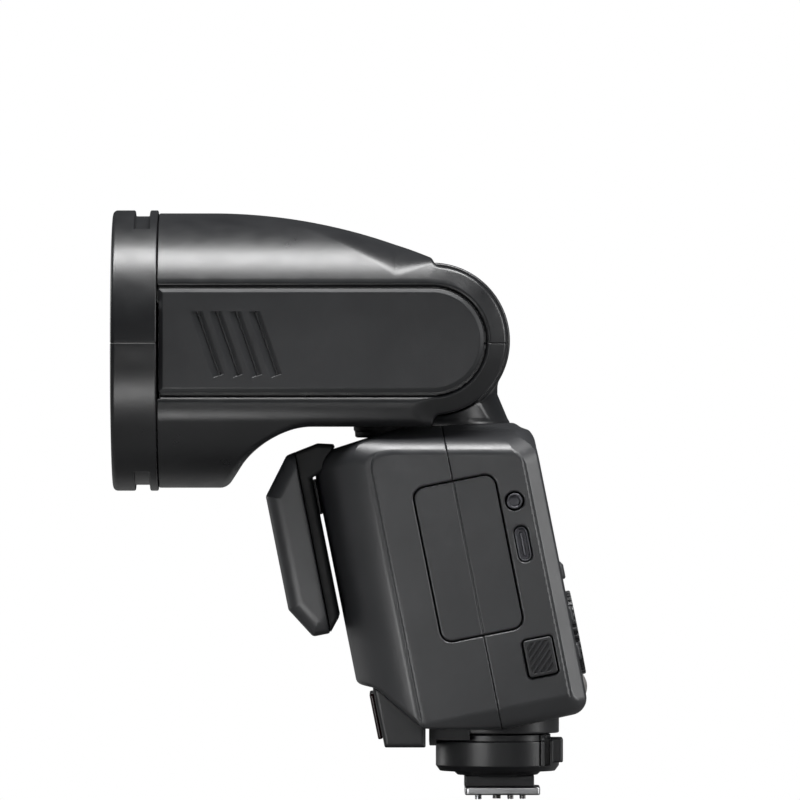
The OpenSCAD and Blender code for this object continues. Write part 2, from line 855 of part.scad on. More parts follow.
module sub_flash_tube() {
    color(clear_plastic) leaning() translate([-19, -45.2, 58.75])
        rotate([0, 90, 0]) cylinder(r = 1.5, h = 38);
}

module sub_flash_rail() {
    color(plastic) leaning() {
        translate([-13, front_y - 0.95, rail_z]) cube([26, 0.9, rail_h]);
        translate([-8, front_y - 3, rail_z]) cube([16, 2.5, rail_h]);
        translate([-10, front_y - 3.9, rail_z]) cube([20, 1.3, rail_h]);
    }
}

head_shell_upper();
head_shell_lower();
side_panel_left();
side_panel_right();
front_ring_upper();
front_ring_lower();
front_lens();
accessory_magnets();
modelling_light_board();
zoom_guide_rods();
zoom_lead_screw();
zoom_motor();
zoom_carriage();
reflector();
flash_tube();
head_screws();
tilt_bushes();
neck();
tilt_axle();
swivel_retaining_ring();
body_shell_front();
body_shell_rear();
battery_bay();
battery_case();
battery_cells();
battery_release();
sync_jack();
usb_socket();
display_window();
display_panel();
function_key_1();
function_key_2();
function_key_3();
function_key_4();
upper_left_key();
lower_left_key();
upper_right_key();
lower_right_key();
control_dial();
set_key();
power_switch();
test_key();
main_board();
flash_capacitor();
body_screws();
chin_cover();
sensor_window();
base_boss();
lock_ring();
locking_pin();
pin_spring();
foot_block();
foot_plate();
contact_pins();
sub_flash_shell();
sub_flash_cover();
sub_flash_window();
sub_flash_reflector();
sub_flash_tube();
sub_flash_rail();
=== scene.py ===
"""Looks of a speedlight flash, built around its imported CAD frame.

Every moulded piece is described by a signed distance field in millimetres, with real fillets on
its edges, and turned into a mesh by following the field's zero surface.
"""

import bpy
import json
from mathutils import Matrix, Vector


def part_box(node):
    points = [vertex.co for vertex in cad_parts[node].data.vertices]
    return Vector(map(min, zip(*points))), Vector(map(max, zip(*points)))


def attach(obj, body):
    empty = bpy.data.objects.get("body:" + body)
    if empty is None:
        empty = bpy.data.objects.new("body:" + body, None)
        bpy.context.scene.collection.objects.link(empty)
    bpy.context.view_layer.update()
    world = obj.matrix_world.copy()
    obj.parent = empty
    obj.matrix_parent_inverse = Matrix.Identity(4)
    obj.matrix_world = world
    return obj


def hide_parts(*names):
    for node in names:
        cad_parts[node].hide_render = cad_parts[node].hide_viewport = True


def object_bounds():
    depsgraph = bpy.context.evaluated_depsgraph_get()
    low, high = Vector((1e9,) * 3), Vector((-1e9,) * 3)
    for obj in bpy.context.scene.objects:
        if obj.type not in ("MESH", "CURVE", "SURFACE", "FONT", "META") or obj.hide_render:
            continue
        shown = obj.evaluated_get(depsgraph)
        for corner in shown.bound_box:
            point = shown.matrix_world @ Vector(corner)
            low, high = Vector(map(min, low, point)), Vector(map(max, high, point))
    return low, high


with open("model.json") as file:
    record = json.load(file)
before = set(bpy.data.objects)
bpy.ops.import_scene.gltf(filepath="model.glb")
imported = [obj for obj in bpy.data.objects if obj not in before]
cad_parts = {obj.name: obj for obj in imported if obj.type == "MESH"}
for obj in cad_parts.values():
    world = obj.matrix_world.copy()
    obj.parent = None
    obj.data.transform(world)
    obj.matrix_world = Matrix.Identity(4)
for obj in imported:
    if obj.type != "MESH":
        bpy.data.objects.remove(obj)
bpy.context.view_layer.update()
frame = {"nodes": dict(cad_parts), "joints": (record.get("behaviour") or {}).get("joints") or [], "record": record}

import json
import math

import bpy
import numpy as np
from mathutils import Vector

MM = 1000.0


# ---------------------------------------------------------------- places taken from the frame

def box_mm(node):
    """Lowest and highest corners of a CAD node, in millimetres."""
    low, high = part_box(node)
    return np.array(low) * MM, np.array(high) * MM


def centre(node):
    low, high = box_mm(node)
    return (low + high) / 2


LENS_Z = centre("front_lens")[2]
RING_R = box_mm("front_ring_upper")[1][2] - LENS_Z
RING_FRONT = -box_mm("front_ring_upper")[0][1]
PIVOT_Y, PIVOT_Z = centre("tilt_axle")[1:]
BARREL_R = box_mm("neck")[1][2] - PIVOT_Z
NECK_HALF = 14.0
HEAD_HALF = box_mm("head_shell_upper")[1][0]
HEAD_R = LENS_Z - box_mm("head_shell_lower")[0][2]
HEAD_FRONT = box_mm("head_shell_upper")[0][1]
HEAD_TOP_START = -78.0
HEAD_TOP_R = 150.0
SEAM_Z = box_mm("head_shell_upper")[0][2]
BELLY_Z = 99.6
CHEEK_R = box_mm("head_shell_lower")[1][1] - PIVOT_Y
PANEL_R = (box_mm("side_panel_left")[1][2] - box_mm("side_panel_left")[0][2]) / 2
PANEL_FRONT = box_mm("side_panel_left")[0][1]
SLOT_HALF = NECK_HALF + 0.35
# Conical rim round the back of each cheek: width of the cone, and its slope
RIM_W = 5.3
RIM_COS, RIM_SIN = math.cos(math.radians(60)), math.sin(math.radians(60))

BODY_HALF = box_mm("body_shell_front")[1][0]
BODY_WALL = 2.2
LOCK_Y = (box_mm("base_boss")[1][1] * 2 - 2 * 16.7) / 2
LOCK_R = 16.7
BATTERY_H = 46.9
BATTERY_MID = centre("battery_case")[1:]
DIAL_AXIS = next(j for j in frame["joints"] if j["name"] == "control_dial_turn")["axis"]
LEAN_COS, LEAN_SIN = DIAL_AXIS[1], DIAL_AXIS[2]
BODY_FRONT = -36.0
BODY_BACK = 23.9


def leaning(y, z):
    """Distance behind the body's parting plane, and height along the leaning body."""
    dy = y - BATTERY_MID[0]
    dz = z - BATTERY_MID[1]
    return dy * LEAN_COS + dz * LEAN_SIN, dz * LEAN_COS - dy * LEAN_SIN + BATTERY_H


# ---------------------------------------------------------------- distance fields

def rmax(a, b, r=0.3):
    """Intersection with a rounded edge of radius r."""
    return np.minimum(np.maximum(a, b), -r) + np.hypot(np.maximum(a + r, 0), np.maximum(b + r, 0))


def rmin(a, b, r=0.3):
    """Union with a filleted corner of radius r."""
    return -rmax(-a, -b, r)


def carve(a, b, r=0.3):
    """Solid a with b cut out, and a rounded edge round the cut."""
    return rmax(a, -b, r)


def slab(t, low, high):
    return np.maximum(low - t, t - high)


def disc(u, v, cu, cv, r):
    return np.hypot(u - cu, v - cv) - r


def rect(u, v, w, h, r=0.0):
    """Rectangle of width w and height h about the origin, with corners of radius r."""
    a = np.abs(u) - w / 2 + r
    b = np.abs(v) - h / 2 + r
    return np.minimum(np.maximum(a, b), 0) + np.hypot(np.maximum(a, 0), np.maximum(b, 0)) - r


def beyond(u, v, a, b):
    """Signed distance from the line through a and b, positive on its right-hand side."""
    du, dv = b[0] - a[0], b[1] - a[1]
    return ((u - a[0]) * dv - (v - a[1]) * du) / math.hypot(du, dv)


def inset(points, d):
    """Counter-clockwise outline with every edge moved inwards by d."""
    moved = []
    for i, p in enumerate(points):
        a = np.subtract(p, points[i - 1])
        b = np.subtract(points[(i + 1) % len(points)], p)
        a = a / np.hypot(*a)
        b = b / np.hypot(*b)
        bisector = np.array([-a[1] - b[1], a[0] + b[0]])
        moved.append(np.add(p, bisector * d / (1 + a @ b)))
    return moved


def polygon(u, v, points, r=0.0):
    """Outline of counter-clockwise points, with its outer corners rounded to radius r."""
    points = inset(points, r)
    nearest = np.full(np.shape(u), np.inf)
    inside = np.zeros(np.shape(u), bool)
    for i, b in enumerate(points):
        a = points[i - 1]
        du, dv = b[0] - a[0], b[1] - a[1]
        wu, wv = u - a[0], v - a[1]
        t = np.clip((wu * du + wv * dv) / (du * du + dv * dv), 0, 1)
        nearest = np.minimum(nearest, (wu - du * t) ** 2 + (wv - dv * t) ** 2)
        if a[1] != b[1]:
            inside ^= ((a[1] <= v) != (b[1] <= v)) & (u < a[0] + (v - a[1]) * du / dv)
    return np.where(inside, -1, 1) * np.sqrt(nearest) - r


# ---------------------------------------------------------------- meshes from fields

BLOCK = 8


def in_chunks(field, points, size=1500000):
    parts = [field(*points[i:i + size].T) for i in range(0, len(points), size)]
    return np.concatenate(parts)


def slope(field, points, value):
    """Gradient of the field at points where it has the given value."""
    reach = 0.01
    steps = [in_chunks(field, points + np.eye(3)[k] * reach) - value for k in range(3)]
    return np.stack(steps, -1) / reach


def crossings(field, low, high, step):
    """Grid edges that cross the zero surface: the point on each, and the four cells round it."""
    span = BLOCK * step
    count = np.ceil((high - low) / span).astype(int) + 1
    dims = count * BLOCK + 2
    blocks = np.stack(np.meshgrid(*[np.arange(n) for n in count], indexing="ij"), -1).reshape(-1, 3)
    middle = in_chunks(field, low + (blocks + 0.5) * span)
    blocks = blocks[np.abs(middle) < span * 1.05]
    local = np.stack(np.meshgrid(*[np.arange(BLOCK + 1)] * 3, indexing="ij"), -1)
    points, cells = [], []
    for start in range(0, len(blocks), 1500):
        some = blocks[start:start + 1500]
        nodes = some[:, None, None, None, :] * BLOCK + local
        values = in_chunks(field, (low + nodes * step).reshape(-1, 3)).reshape(nodes.shape[:-1])
        near = values[:, :BLOCK, :BLOCK, :BLOCK]
        for axis in range(3):
            far = [slice(None)] + [slice(1, None) if k == axis else slice(BLOCK) for k in range(3)]
            far = values[tuple(far)]
            where = np.nonzero((near < 0) != (far < 0))
            a, b = near[where], far[where]
            node = some[where[0]] * BLOCK + np.stack(where[1:], -1)
            points.append(node + (a / (a - b))[:, None] * np.eye(3)[axis])
            u = np.eye(3, dtype=int)[(axis + 1) % 3]
            v = np.eye(3, dtype=int)[(axis + 2) % 3]
            ring = np.stack([node - u - v, node - v, node, node - u], 1)
            ring = np.where((a < 0)[:, None, None], ring, ring[:, ::-1])
            cells.append((ring[..., 0] * dims[1] + ring[..., 1]) * dims[2] + ring[..., 2])
    return np.concatenate(points), np.concatenate(cells)


def surface(field, low, high, step):
    """Quad mesh of the field's zero surface: corners, faces and normals."""
    low = np.array(low, float) - 2.3 * step
    high = np.array(high, float) + 2.3 * step
    points, cells = crossings(field, low, high, step)
    _, faces = np.unique(cells.ravel(), return_inverse=True)
    count = np.bincount(faces)
    owner = np.repeat(np.arange(len(points)), 4)
    sums = [np.bincount(faces, points[owner, k]) for k in range(3)]
    corners = low + np.stack(sums, -1) / count[:, None] * step
    for _ in range(2):
        value = in_chunks(field, corners)
        grad = slope(field, corners, value)
        push = value / np.maximum((grad ** 2).sum(1), 0.3)
        corners -= np.clip(push, -step / 2, step / 2)[:, None] * grad
    grad = slope(field, corners, in_chunks(field, corners))
    normals = grad / np.maximum(np.linalg.norm(grad, axis=1, keepdims=True), 1e-6)
    return corners, faces.reshape(-1, 4), normals


def new_object(name, corners, faces, normals=None):
    mesh = bpy.data.meshes.new(name)
    mesh.vertices.add(len(corners))
    mesh.vertices.foreach_set("co", (np.asarray(corners) / MM).astype(np.float32).ravel())
    mesh.loops.add(faces.size)
    mesh.loops.foreach_set("vertex_index", faces.ravel().astype(np.int32))
    mesh.polygons.add(len(faces))
    mesh.polygons.foreach_set("loop_start", np.arange(0, faces.size, faces.shape[1], dtype=np.int32))
    mesh.polygons.foreach_set("use_smooth", np.ones(len(faces), bool))
    mesh.update(calc_edges=True)
    if normals is not None:
        mesh.normals_split_custom_set_from_vertices(normals.astype(np.float32))
    obj = bpy.data.objects.new(name, mesh)
    bpy.context.collection.objects.link(obj)
    return obj


def dress(obj, body, slot, material, nodes):
    """Material, body and the CAD nodes that a piece stands for; the slot is not used."""
    obj.data.materials.append(material)
    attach(obj, body)
    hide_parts(*nodes)
    return obj


def moulded(name, field, step, body, slot, material, node=None):
    """Piece made from a field over the box of the CAD node that it replaces."""
    node = node or name
    low, high = box_mm(node)
    corners, faces, normals = surface(field, low - 0.6, high + 0.6, step)
    return dress(new_object("look_" + name, corners, faces, normals), body, slot, material, [node])


def lathed(name, profile, place, axis, segments=160):
    """Closed solid turned from (radius, height) points about an axis through place."""
    axis = np.array(axis, float) / np.linalg.norm(axis)
    side = np.cross(axis, [1, 0, 0] if abs(axis[0]) < 0.9 else [0, 1, 0])
    side /= np.linalg.norm(side)
    other = np.cross(axis, side)
    turn = np.arange(segments) * 2 * math.pi / segments
    ring = np.cos(turn)[:, None] * side + np.sin(turn)[:, None] * other
    corners = [np.array(place) + max(r, 0.01) * ring + h * axis for r, h in profile]
    i, j = np.meshgrid(np.arange(len(profile)), np.arange(segments), indexing="ij")
    i2, j2 = (i + 1) % len(profile), (j + 1) % segments
    faces = np.stack([i, i2, i2, i], -1) * segments + np.stack([j, j, j2, j2], -1)
    obj = new_object(name, np.concatenate(corners), faces.reshape(-1, 4))
    return obj


# ---------------------------------------------------------------- lamp head

def head_form(x, y, z):
    """Outer form of the head: round in front, a falling top, and cheeks with a round hub behind."""
    side = np.abs(x) - HEAD_HALF
    behind = np.clip(y - HEAD_TOP_START, 0, 100)
    drop = HEAD_TOP_R - np.sqrt(HEAD_TOP_R ** 2 - behind ** 2)
    top_z = LENS_Z + HEAD_R
    top = np.where(y < HEAD_TOP_START, z - top_z, disc(y, z, HEAD_TOP_START, top_z - HEAD_TOP_R, HEAD_TOP_R))
    top = np.where(y > PIVOT_Y + 2, -20, top)
    corner = np.clip(drop, 0, 9) * np.clip((PIVOT_Y + 2 - y) / 12, 0.1, 1)
    form = rmax(disc(x, z, 0, LENS_Z, HEAD_R), top, corner)
    form = rmax(form, side, 1.2)
    hub = rmin(disc(y, z, PIVOT_Y, PIVOT_Z, CHEEK_R), y - PIVOT_Y - 0.3, 2.0)
    form = rmax(form, hub, 0.8)
    form = rmax(form, (hub + RIM_W) * RIM_COS + side * RIM_SIN, 0.6)
    throat = (y + 63.4) * 0.854 - (z - BELLY_Z) * 0.52
    under = rmax(-throat, z - BELLY_Z - 0.9 * np.clip((np.abs(x) - 29) / 4, 0, 1), 11)
    cheek = np.maximum(rmax(-42.8 - y, z - 101.4, 0.4), np.hypot(x, y - PIVOT_Y) - 25.2)
    form = carve(form, rmin(under, cheek, 0.5), 1.6)
    return rmax(form, HEAD_FRONT - y, 0.3)


def neck_slot(x, y, z, grow=0.0):
    """Room between the cheeks for the neck over its whole tilt."""
    dy = y - PIVOT_Y
    dz = z - PIVOT_Z
    side = np.minimum(np.hypot(dy, dz) - BARREL_R - 0.3, 0.3 - dy)
    side = np.minimum(side, np.maximum(-28 - dy, dz + 11)) - grow
    slot = np.maximum(side, np.abs(x) - SLOT_HALF - grow)
    collar = np.maximum(np.hypot(x, dy + 1.5) - 22.8, z - 103.9) - grow
    return np.minimum(slot, np.maximum(collar, dy - grow))


def panel_outline(y, z):
    round_end = np.hypot(y - PIVOT_Y, z - PIVOT_Z)
    side = np.where(y > PIVOT_Y, round_end, np.abs(z - PIVOT_Z)) - PANEL_R
    return np.maximum(side, PANEL_FRONT - 0.9 - y)


def panel_recess(x, y, z):
    """Recess for the inlaid side panel, with a gap round the panel and a bevelled rim."""
    depth = HEAD_HALF - np.abs(x)
    gap = 0.8 - 0.3 * np.clip((z - PIVOT_Z) / PANEL_R, -1, 0)
    outline = np.where(y < HEAD_TOP_START, np.abs(z - PIVOT_Z) - PANEL_R, panel_outline(y, z))
    return np.maximum((outline - gap - np.clip(0.9 - depth, 0, 2) * 1.2) * 0.64, depth - 1.5)


def screw_wells(x, y, z):
    return disc(np.abs(x), y, 24, -47, 2.5)


def head_shell(x, y, z):
    form = head_form(x, y, z)
    ax = np.abs(x)
    bosses = np.minimum(rmax(disc(y, z, PIVOT_Y, PIVOT_Z, 10), ax - 20.4), screw_wells(x, y, z) - 1.5)
    hollow = np.maximum(np.maximum(form + 2.2, ax - HEAD_HALF + 2.7), -bosses)
    hollow = np.maximum(hollow, -neck_slot(x, y, z, 1.8))
    spigot = np.maximum(disc(x, z, 0, LENS_Z, 34.95), np.minimum(y + 91.4, np.maximum(y + 88, ax - 30.8)))
    shell = carve(form, np.minimum(hollow, spigot), 0.2)
    shell = carve(shell, neck_slot(x, y, z), 0.5)
    shell = carve(shell, panel_recess(x, y, z), 0.4)
    shell = carve(shell, np.maximum(disc(y, z, PIVOT_Y, PIVOT_Z, 7.5), ax - 20.5), 0.2)
    return carve(shell, np.maximum(screw_wells(x, y, z), z - 104), 0.3)


def head_shell_upper(x, y, z):
    return rmax(head_shell(x, y, z), SEAM_Z - z, 0.25)


def head_shell_lower(x, y, z):
    return rmax(head_shell(x, y, z), z - SEAM_Z, 0.25)


LOUVRE_Y = [-78.3 + 5.17 * i for i in range(4)]
LOUVRE_Z = 122.15
LOUVRE_LEAN = math.radians(19.2)


def louvre(depth, y, z, middle):
    """Slanting louvre: a ramp that sinks rearwards into a deep groove, and a shallow slope behind it."""
    dy = y - middle
    dz = z - LOUVRE_Z
    across = dy * math.cos(LOUVRE_LEAN) + dz * math.sin(LOUVRE_LEAN)
    along = dz * math.cos(LOUVRE_LEAN) - dy * math.sin(LOUVRE_LEAN)
    ramp = np.maximum((depth - (across + 1.9) * 0.3) * 0.96, across - 0.5)
    groove = np.maximum(slab(across, -0.2, 0.5), depth - 0.95)
    slope_behind = np.maximum((depth - (1.3 - across) * 0.5) * 0.9, -across)
    cut = np.minimum(np.minimum(ramp, groove), slope_behind)
    return rmax(np.maximum(cut, -along - 9.3), dz - 8.4, 0.1)


def side_panel(x, y, z):
    ax = np.abs(x)
    outline = panel_outline(y, z)
    plate = rmax(outline, slab(ax, HEAD_HALF - 1.4, HEAD_HALF), 0.1)
    plate = rmax(plate, (outline + 1.1) * 0.524 + (ax - HEAD_HALF) * 0.852, 0.1)
    for middle in LOUVRE_Y:
        plate = carve(plate, louvre(HEAD_HALF - ax, y, z, middle), 0.08)
    return plate


def front_ring(x, y, z):
    """Ring with a rounded front edge, a seat for the lens, and a claw groove above and below."""
    ax = np.abs(x)
    rise = np.abs(z - LENS_Z)
    radial = np.hypot(x, z - LENS_Z)
    ring = rmax(rmax(radial - RING_R, -y - RING_FRONT, 1.3), y + 92.2, 0.35)
    spigot = np.maximum(np.maximum(radial - 34.85, slab(y, -92.6, -88.6)), ax - 30.7)
    ring = np.minimum(ring, spigot)
    ring = carve(ring, np.minimum(radial - 33, np.maximum(radial - 34.3, y + 101.65)), 0.3)
    groove = np.maximum(rmax(slab(-y, 94.4, 98.4), 36.4 - radial, 0.4), ax * 0.866 - rise * 0.5)
    ring = carve(ring, groove, 0.35)
    places = [(36 * math.cos(a), 36 * math.sin(a)) for a in (math.radians(20), math.radians(40))]
    holes = np.minimum(*[disc(ax, rise, u, v, 1.3) for u, v in places])
    return carve(ring, np.maximum(holes, -97.2 - y), 0.1)


def front_ring_upper(x, y, z):
    return rmax(front_ring(x, y, z), SEAM_Z - z, 0.25)


def front_ring_lower(x, y, z):
    return rmax(front_ring(x, y, z), z - SEAM_Z, 0.25)


# ---------------------------------------------------------------- neck

def neck(x, y, z):
    """Barrel between the cheeks on a cone, with the round collar and the shaft that swivel."""
    ax = np.abs(x)
    radial = np.hypot(x, y - PIVOT_Y)
    barrel = rmax(disc(y, z, PIVOT_Y, PIVOT_Z, BARREL_R), ax - NECK_HALF, 0.8)
    cone = (radial - np.clip(20.8 - (z - 100.9) * 0.419, 17.7, 20.8)) * 0.92
    stem = rmax(np.maximum(cone, slab(z, 99, 116)), ax - NECK_HALF, 0.8)
    collar = rmax(radial - 20.8, slab(z, 96.6, 100.9), 0.7)
    stem = np.maximum(stem, np.minimum(z - 108.3, PIVOT_Y - 16.4 - y))
    under_hub = np.maximum(CHEEK_R + 0.4 - np.hypot(y - PIVOT_Y, z - PIVOT_Z), PIVOT_Y - y)
    stem = rmin(stem, rmax(np.maximum(cone, slab(z, 99, 116)), under_hub, 0.4), 0.4)
    form = rmin(rmin(barrel, stem, 0.8), collar, 1.2)
    form = np.minimum(form, rmax(radial - 14, slab(z, 89.6, 98), 0.3))
    form = carve(form, disc(y, z, PIVOT_Y, PIVOT_Z, 5.05), 0.2)
    return carve(form, np.maximum(radial - 9.5, z - 108), 0.3)


# ---------------------------------------------------------------- body

# Outline of the raised flat facet on each side, leaning coordinates
FACET = [(-20.5, -30), (19.15, -30), (19.15, 74), (-20.5, 80.6)]
ROOF_Z = 101.2
BELLY_ROOM_R = 24.6


def body_form(x, y, z):
    """Outer form of the leaning body, with a flat facet on each side and chamfers behind it."""
    t, h = leaning(y, z)
    ax = np.abs(x)
    u = ax - 13.7
    v = -(t + 12.7)
    flank = np.hypot(np.maximum(u, 0), np.maximum(v, 0)) + np.minimum(np.maximum(u, v), 0) - 23.3
    back = rmax(t - BODY_BACK, (ax + t - 55.2) * 0.7071, 0.6)
    plan = np.maximum(flank, back)
    crown = rmax(beyond(t, h, (23.9, 79.2), (-9, 85)), beyond(t, h, (-9, 85), (-36, 81.9)), 1.4)
    crown = rmax(crown, (ax - 19.2) * 0.38 + (z - ROOF_Z) * 0.925, 1.0)
    form = rmax(plan, crown, 5.2)
    base = rmin(beyond(t, h, (-36, 19.3), (-31, 17.3)), beyond(t, h, (-31, 17.3), (-21, 4.5)), 0.7)
    base = rmax(base, beyond(t, h, (-21, 4.5), (0, -0.3)), 0.6)
    base = rmax(base, beyond(t, h, (0, -0.3), (23.9, 0.2)), 0.2)
    form = rmax(form, base, 1.2 + 3.3 * np.clip((t + 10) / 30, 0, 1))
    radial = np.hypot(x, y - PIVOT_Y)
    step_z = z - 99.0
    rim = (radial - BELLY_ROOM_R) * 0.625 + step_z * 0.781
    form = rmax(form, rmin(step_z, rim, 0.8), 0.5)
    flare = np.hypot(np.maximum(ax - 26.5, 0), np.maximum(8 - h, 0)) - 9.3
    form = rmax(form, flare, 1.0)
    step = np.clip(polygon(t, h, FACET, 4.8) * 1.1, 0, 0.45)
    return rmax(form, (ax - BODY_HALF + step) * 0.8, 0.12)


JACK = (15.2, 59.5)
USB = (15.2, 47.8)
RELEASE = (13.8, 17.2)
DIAL_H = 21.0
DIAL_R = 11.5
WINDOW_H = 57.6
KEY_SIZE = {"function": (10, 4.2), "side": (8, 4.6), "switch": (6, 4)}
KEYS = {"function_key_%d" % (i + 1): (-19.5 + 13 * i, 38.3, "function") for i in range(4)}
KEYS.update(upper_left_key=(-21, 26.5, "side"), lower_left_key=(-21, 16.5, "side"))
KEYS.update(upper_right_key=(21, 26.5, "side"), lower_right_key=(21, 16.5, "side"))
SWITCH = (-22.7, 7.6)
SWITCH_TRAVEL = 4.4
TEST = (20.5, 7.6)


def battery_end(t, h, grow=0.0):
    return rect(t, h - BATTERY_H, 22.1 + 2 * grow, 41.8 + 2 * grow, 3 + grow)


def usb_outline(t, h, grow=0.0):
    return rect(t - USB[0], h - USB[1], 3.4 + 2 * grow, 9.4 + 2 * grow, 1.69 + grow)


def release_outline(t, h, grow=0.0):
    return rect(t - RELEASE[0], h - RELEASE[1], 7.8 + 2 * grow, 10 + 2 * grow, 0.9 + grow)


def key_outline(x, h, key, grow=0.0):
    wide, high = KEY_SIZE[key[2]]
    return rect(x - key[0], h - key[1], wide + 2 * grow, high + 2 * grow, 1.2 + grow)


def side_openings(x, t, h):
    holes = battery_end(t, h, 0.4)
    holes = np.minimum(holes, disc(t, h, *JACK, 2.6))
    holes = np.minimum(holes, usb_outline(t, h, 0.3))
    holes = np.minimum(holes, release_outline(t, h, 0.35))
    return np.maximum(holes, 30 - x)


def back_openings(x, t, h):
    holes = rect(x, h - WINDOW_H, 50.3, 29.3, 1.35)
    for key in KEYS.values():
        holes = np.minimum(holes, key_outline(x, h, key, 0.2))
    travel = rect(x - SWITCH[0] - SWITCH_TRAVEL / 2, h - SWITCH[1], 6.4 + SWITCH_TRAVEL, 4.4, 1.4)
    holes = np.minimum(np.minimum(holes, travel), disc(x, h, *TEST, 3.2))
    holes = np.maximum(np.minimum(holes, disc(x, h, 0, DIAL_H, 7)), 19 - t)
    return np.minimum(holes, np.maximum(disc(x, h, 0, DIAL_H, DIAL_R + 0.3), 22.7 - t))


def body_shell(x, y, z):
    t, h = leaning(y, z)
    form = body_form(x, y, z)
    radial = np.hypot(x, y - PIVOT_Y)
    core = np.maximum(radial - 22.9, 94.4 - z)
    hollow = np.maximum(form + BODY_WALL, -core)
    posts = disc(np.abs(x), h, 26, 5.2, 3)
    hollow = np.maximum(hollow, -posts)
    shell = carve(form, hollow, 0.2)
    shell = carve(shell, np.maximum(radial - 21.1, 96.4 - z), 0.5)
    shell = carve(shell, np.maximum(radial - 14.1, 90 - z), 0.2)
    shell = carve(shell, side_openings(x, t, h), 0.35)
    shell = carve(shell, back_openings(x, t, h), 0.3)
    return carve(shell, np.maximum(disc(np.abs(x), h, 26, 5.2, 2.3), t + 15), 0.2)


def body_shell_front(x, y, z):
    return rmax(body_shell(x, y, z), leaning(y, z)[0] + 0.05, 0.25)


def body_shell_rear(x, y, z):
    return rmax(body_shell(x, y, z), 0.05 - leaning(y, z)[0], 0.25)


def battery_case(x, y, z):
    """Battery whose end carries on the body's parting line as a fine groove."""
    t, h = leaning(y, z)
    block = rmax(battery_end(t, h), slab(x, -31.6, BODY_HALF - 0.1), 0.45)
    inside = np.maximum(battery_end(t, h, -1.3), slab(x, -30.7, BODY_HALF - 1))
    block = carve(block, inside, 0.2)
    groove = np.maximum(np.hypot(t, x - BODY_HALF + 0.1) - 0.28, np.abs(h - BATTERY_H) - 20.9)
    return carve(block, groove, 0.12)


def battery_release(x, y, z):
    """Sliding catch with diagonal ribs on a rounded pad."""
    t, h = leaning(y, z)
    pad = rmax(release_outline(t, h), slab(x, BODY_HALF - 4, BODY_HALF + 0.3), 0.4)
    slant = (t - RELEASE[0] - h + RELEASE[1]) * 0.7071
    wave = np.abs((slant + 0.65) % 1.3 - 0.65) - 0.3
    field = rect(t - RELEASE[0], h - RELEASE[1], 6.0, 8.2, 0.6)
    return carve(pad, rmax(np.maximum(wave, field), BODY_HALF - 0.2 - x, 0.15), 0.15)


def sync_jack(x, y, z):
    t, h = leaning(y, z)
    rim = rmax(disc(t, h, *JACK, 2.15), slab(x, BODY_HALF - 12, BODY_HALF), 0.35)
    return carve(rim, np.maximum(disc(t, h, *JACK, 1.45), BODY_HALF - 11 - x), 0.3)


def usb_socket(x, y, z):
    t, h = leaning(y, z)
    shell = rmax(usb_outline(t, h), slab(x, BODY_HALF - 9, BODY_HALF - 0.2), 0.12)
    shell = carve(shell, np.maximum(usb_outline(t, h, -0.35), BODY_HALF - 8 - x), 0.08)
    tongue = rmax(rect(t - USB[0], h - USB[1], 0.7, 6.4, 0.2), slab(x, BODY_HALF - 8.5, BODY_HALF - 1), 0.15)
    return np.minimum(shell, tongue)


def key_field(key, proud):
    def field(x, y, z):
        t, h = leaning(y, z)
        crown = t - BODY_BACK - proud + 0.02 * (x - key[0]) ** 2
        return rmax(rmax(key_outline(x, h, key), crown, 0.55), BODY_BACK - 2.8 - t, 0.1)
    return field


def power_switch(x, y, z):
    """Sliding switch with three grip ribs."""
    t, h = leaning(y, z)
    pad = rect(x - SWITCH[0], h - SWITCH[1], 6, 4, 1.2)
    pad = rmax(pad, slab(t, BODY_BACK - 2.8, BODY_BACK + 0.9), 0.35)
    grip = np.abs((x - SWITCH[0] + 0.55) % 1.1 - 0.55) - 0.22
    grip = np.maximum(grip, rect(x - SWITCH[0], h - SWITCH[1], 4.4, 2.8, 0.3))
    return carve(pad, rmax(grip, BODY_BACK + 0.45 - t, 0.1), 0.12)


def test_key(x, y, z):
    t, h = leaning(y, z)
    dome = np.sqrt((t - BODY_BACK + 4.6) ** 2 + (x - TEST[0]) ** 2 + (h - TEST[1]) ** 2) - 5.5
    return rmax(rmax(disc(x, h, *TEST, 3), dome, 0.3), BODY_BACK - 2.8 - t, 0.1)


def control_dial(x, y, z):
    """Dial with a toothed rim and a dished face round the set key."""
    t, h = leaning(y, z)
    radial = np.hypot(x, h - DIAL_H)
    turn = np.arctan2(h - DIAL_H, x) * 36 / (2 * math.pi)
    tooth = (turn - np.round(turn)) * 2 * math.pi / 36 * DIAL_R
    wheel = rmax(radial - DIAL_R, slab(t, BODY_BACK - 1.1, BODY_BACK + 1.5), 0.45)
    wheel = carve(wheel, np.maximum(np.hypot(tooth, radial - DIAL_R) - 0.5, BODY_BACK - 0.5 - t), 0.15)
    dish = rmax(BODY_BACK + 1.5 - t - 0.06 * (9.6 - radial), radial - 9.6, 0.2)
    wheel = carve(wheel, dish, 0.25)
    wheel = np.minimum(wheel, np.maximum(radial - 6.9, slab(t, BODY_BACK - 2.8, BODY_BACK)))
    return carve(wheel, radial - 5.2, 0.35)


def set_key(x, y, z):
    t, h = leaning(y, z)
    radial = np.hypot(x, h - DIAL_H)
    button = rmax(radial - 5.1, slab(t, BODY_BACK - 2.8, BODY_BACK + 1.3), 0.45)
    return carve(button, np.sqrt((t - BODY_BACK - 13.6) ** 2 + radial ** 2) - 12.7, 0.3)


# ---------------------------------------------------------------- base and foot

CHIN = [(-30.9, 13.3), (-19.9, 13.3), (-19.9, 22), (-27, 29.5), (-34.2, 29.5)]
SENSOR = [(-35.1, 27.5), (-32.65, 15.3), (-31.4, 15.5), (-33.9, 27.7)]


